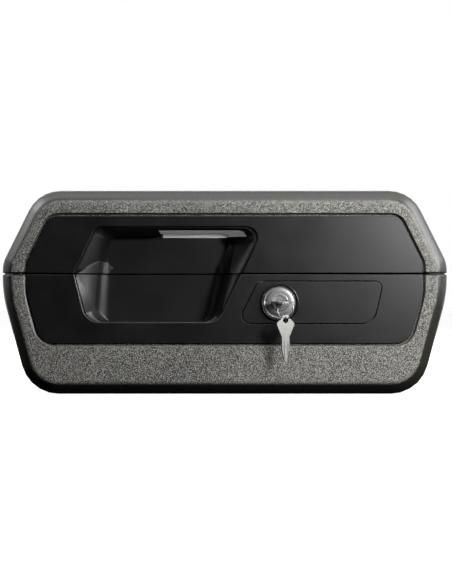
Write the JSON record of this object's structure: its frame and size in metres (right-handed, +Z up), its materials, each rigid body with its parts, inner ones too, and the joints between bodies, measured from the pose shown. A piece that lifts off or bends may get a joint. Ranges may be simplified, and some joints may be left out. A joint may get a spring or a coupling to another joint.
{
  "type": "key-locking security chest",
  "caption": "Small insulated security chest: moulded two-part shell with hinged lid, hand recess with carry grip, and a front key lock with keys on a ring.",
  "frame": {"origin": "centre of the footprint, on the flat bottom", "axes": "+X to the right across the chest's width, +Z up, the front faces -Y"},
  "size_m": [0.363, 0.3166, 0.166],
  "materials": {
    "textured_shell": "coarse moulded stipple, satin",
    "black_panel": "smooth satin",
    "black_trim": "smooth satin",
    "liner": "smooth matte",
    "insulation": "cast, dull",
    "seal": "soft, matte",
    "chrome": "polished",
    "steel": "zinc plated",
    "hinge_steel": "black satin paint",
    "brass": "stamped",
    "key_nickel": "satin nickel"
  },
  "bodies": {
    "base": {"base_shell": "textured_shell", "base_liner": "liner", "base_insulation": "insulation", "base_fascia": "black_panel", "fill_plugs": "black_trim", "rim_seal": "seal", "lock_plate": "black_panel", "lock_bezel": "black_trim", "lock_housing": "chrome", "lock_washer": "steel", "lock_nut": "steel", "hinge_leaf_base_left": "hinge_steel", "hinge_leaf_base_right": "hinge_steel", "hinge_pin_left": "steel", "hinge_pin_right": "steel", "hinge_screws_base": "steel"},
    "lid": {"lid_shell": "textured_shell", "lid_liner": "liner", "lid_insulation": "insulation", "lid_fascia": "black_panel", "strike": "steel", "strike_screws": "steel", "hinge_leaf_lid_left": "hinge_steel", "hinge_leaf_lid_right": "hinge_steel", "hinge_screws_lid": "steel"},
    "lock_core": {"lock_plug": "chrome", "wafer_tumblers": "brass", "lock_cam": "steel", "cam_screw": "steel"},
    "key": {"inserted_key": "key_nickel"},
    "ring": {"key_ring": "key_nickel"},
    "spare": {"spare_key": "key_nickel"}
  },
  "joints": [
    {"name": "lid_hinge", "type": "hinge", "parent": "base", "child": "lid", "pos_m": [0, 0.147, 0.098], "axis": [-1, 0, 0], "range_deg": [0, 95]},
    {"name": "lock_turn", "type": "hinge", "parent": "base", "child": "lock_core", "pos_m": [0.0446, -0.14, 0.0748], "axis": [0, -1, 0], "range_deg": [0, 90]},
    {"name": "key_withdraw", "type": "slide", "parent": "lock_core", "child": "key", "axis": [0, -1, 0], "range_m": [0, 0.03]},
    {"name": "ring_swing", "type": "hinge", "parent": "key", "child": "ring", "pos_m": [0.04837, -0.16045, 0.0748], "axis": [0.8387, -0.5446, 0], "range_deg": [-12, 12]},
    {"name": "spare_key_swing", "type": "hinge", "parent": "ring", "child": "spare", "pos_m": [0.04837, -0.16045, 0.06185], "axis": [0.8387, -0.5446, 0], "range_deg": [-15, 15]}
  ]
}
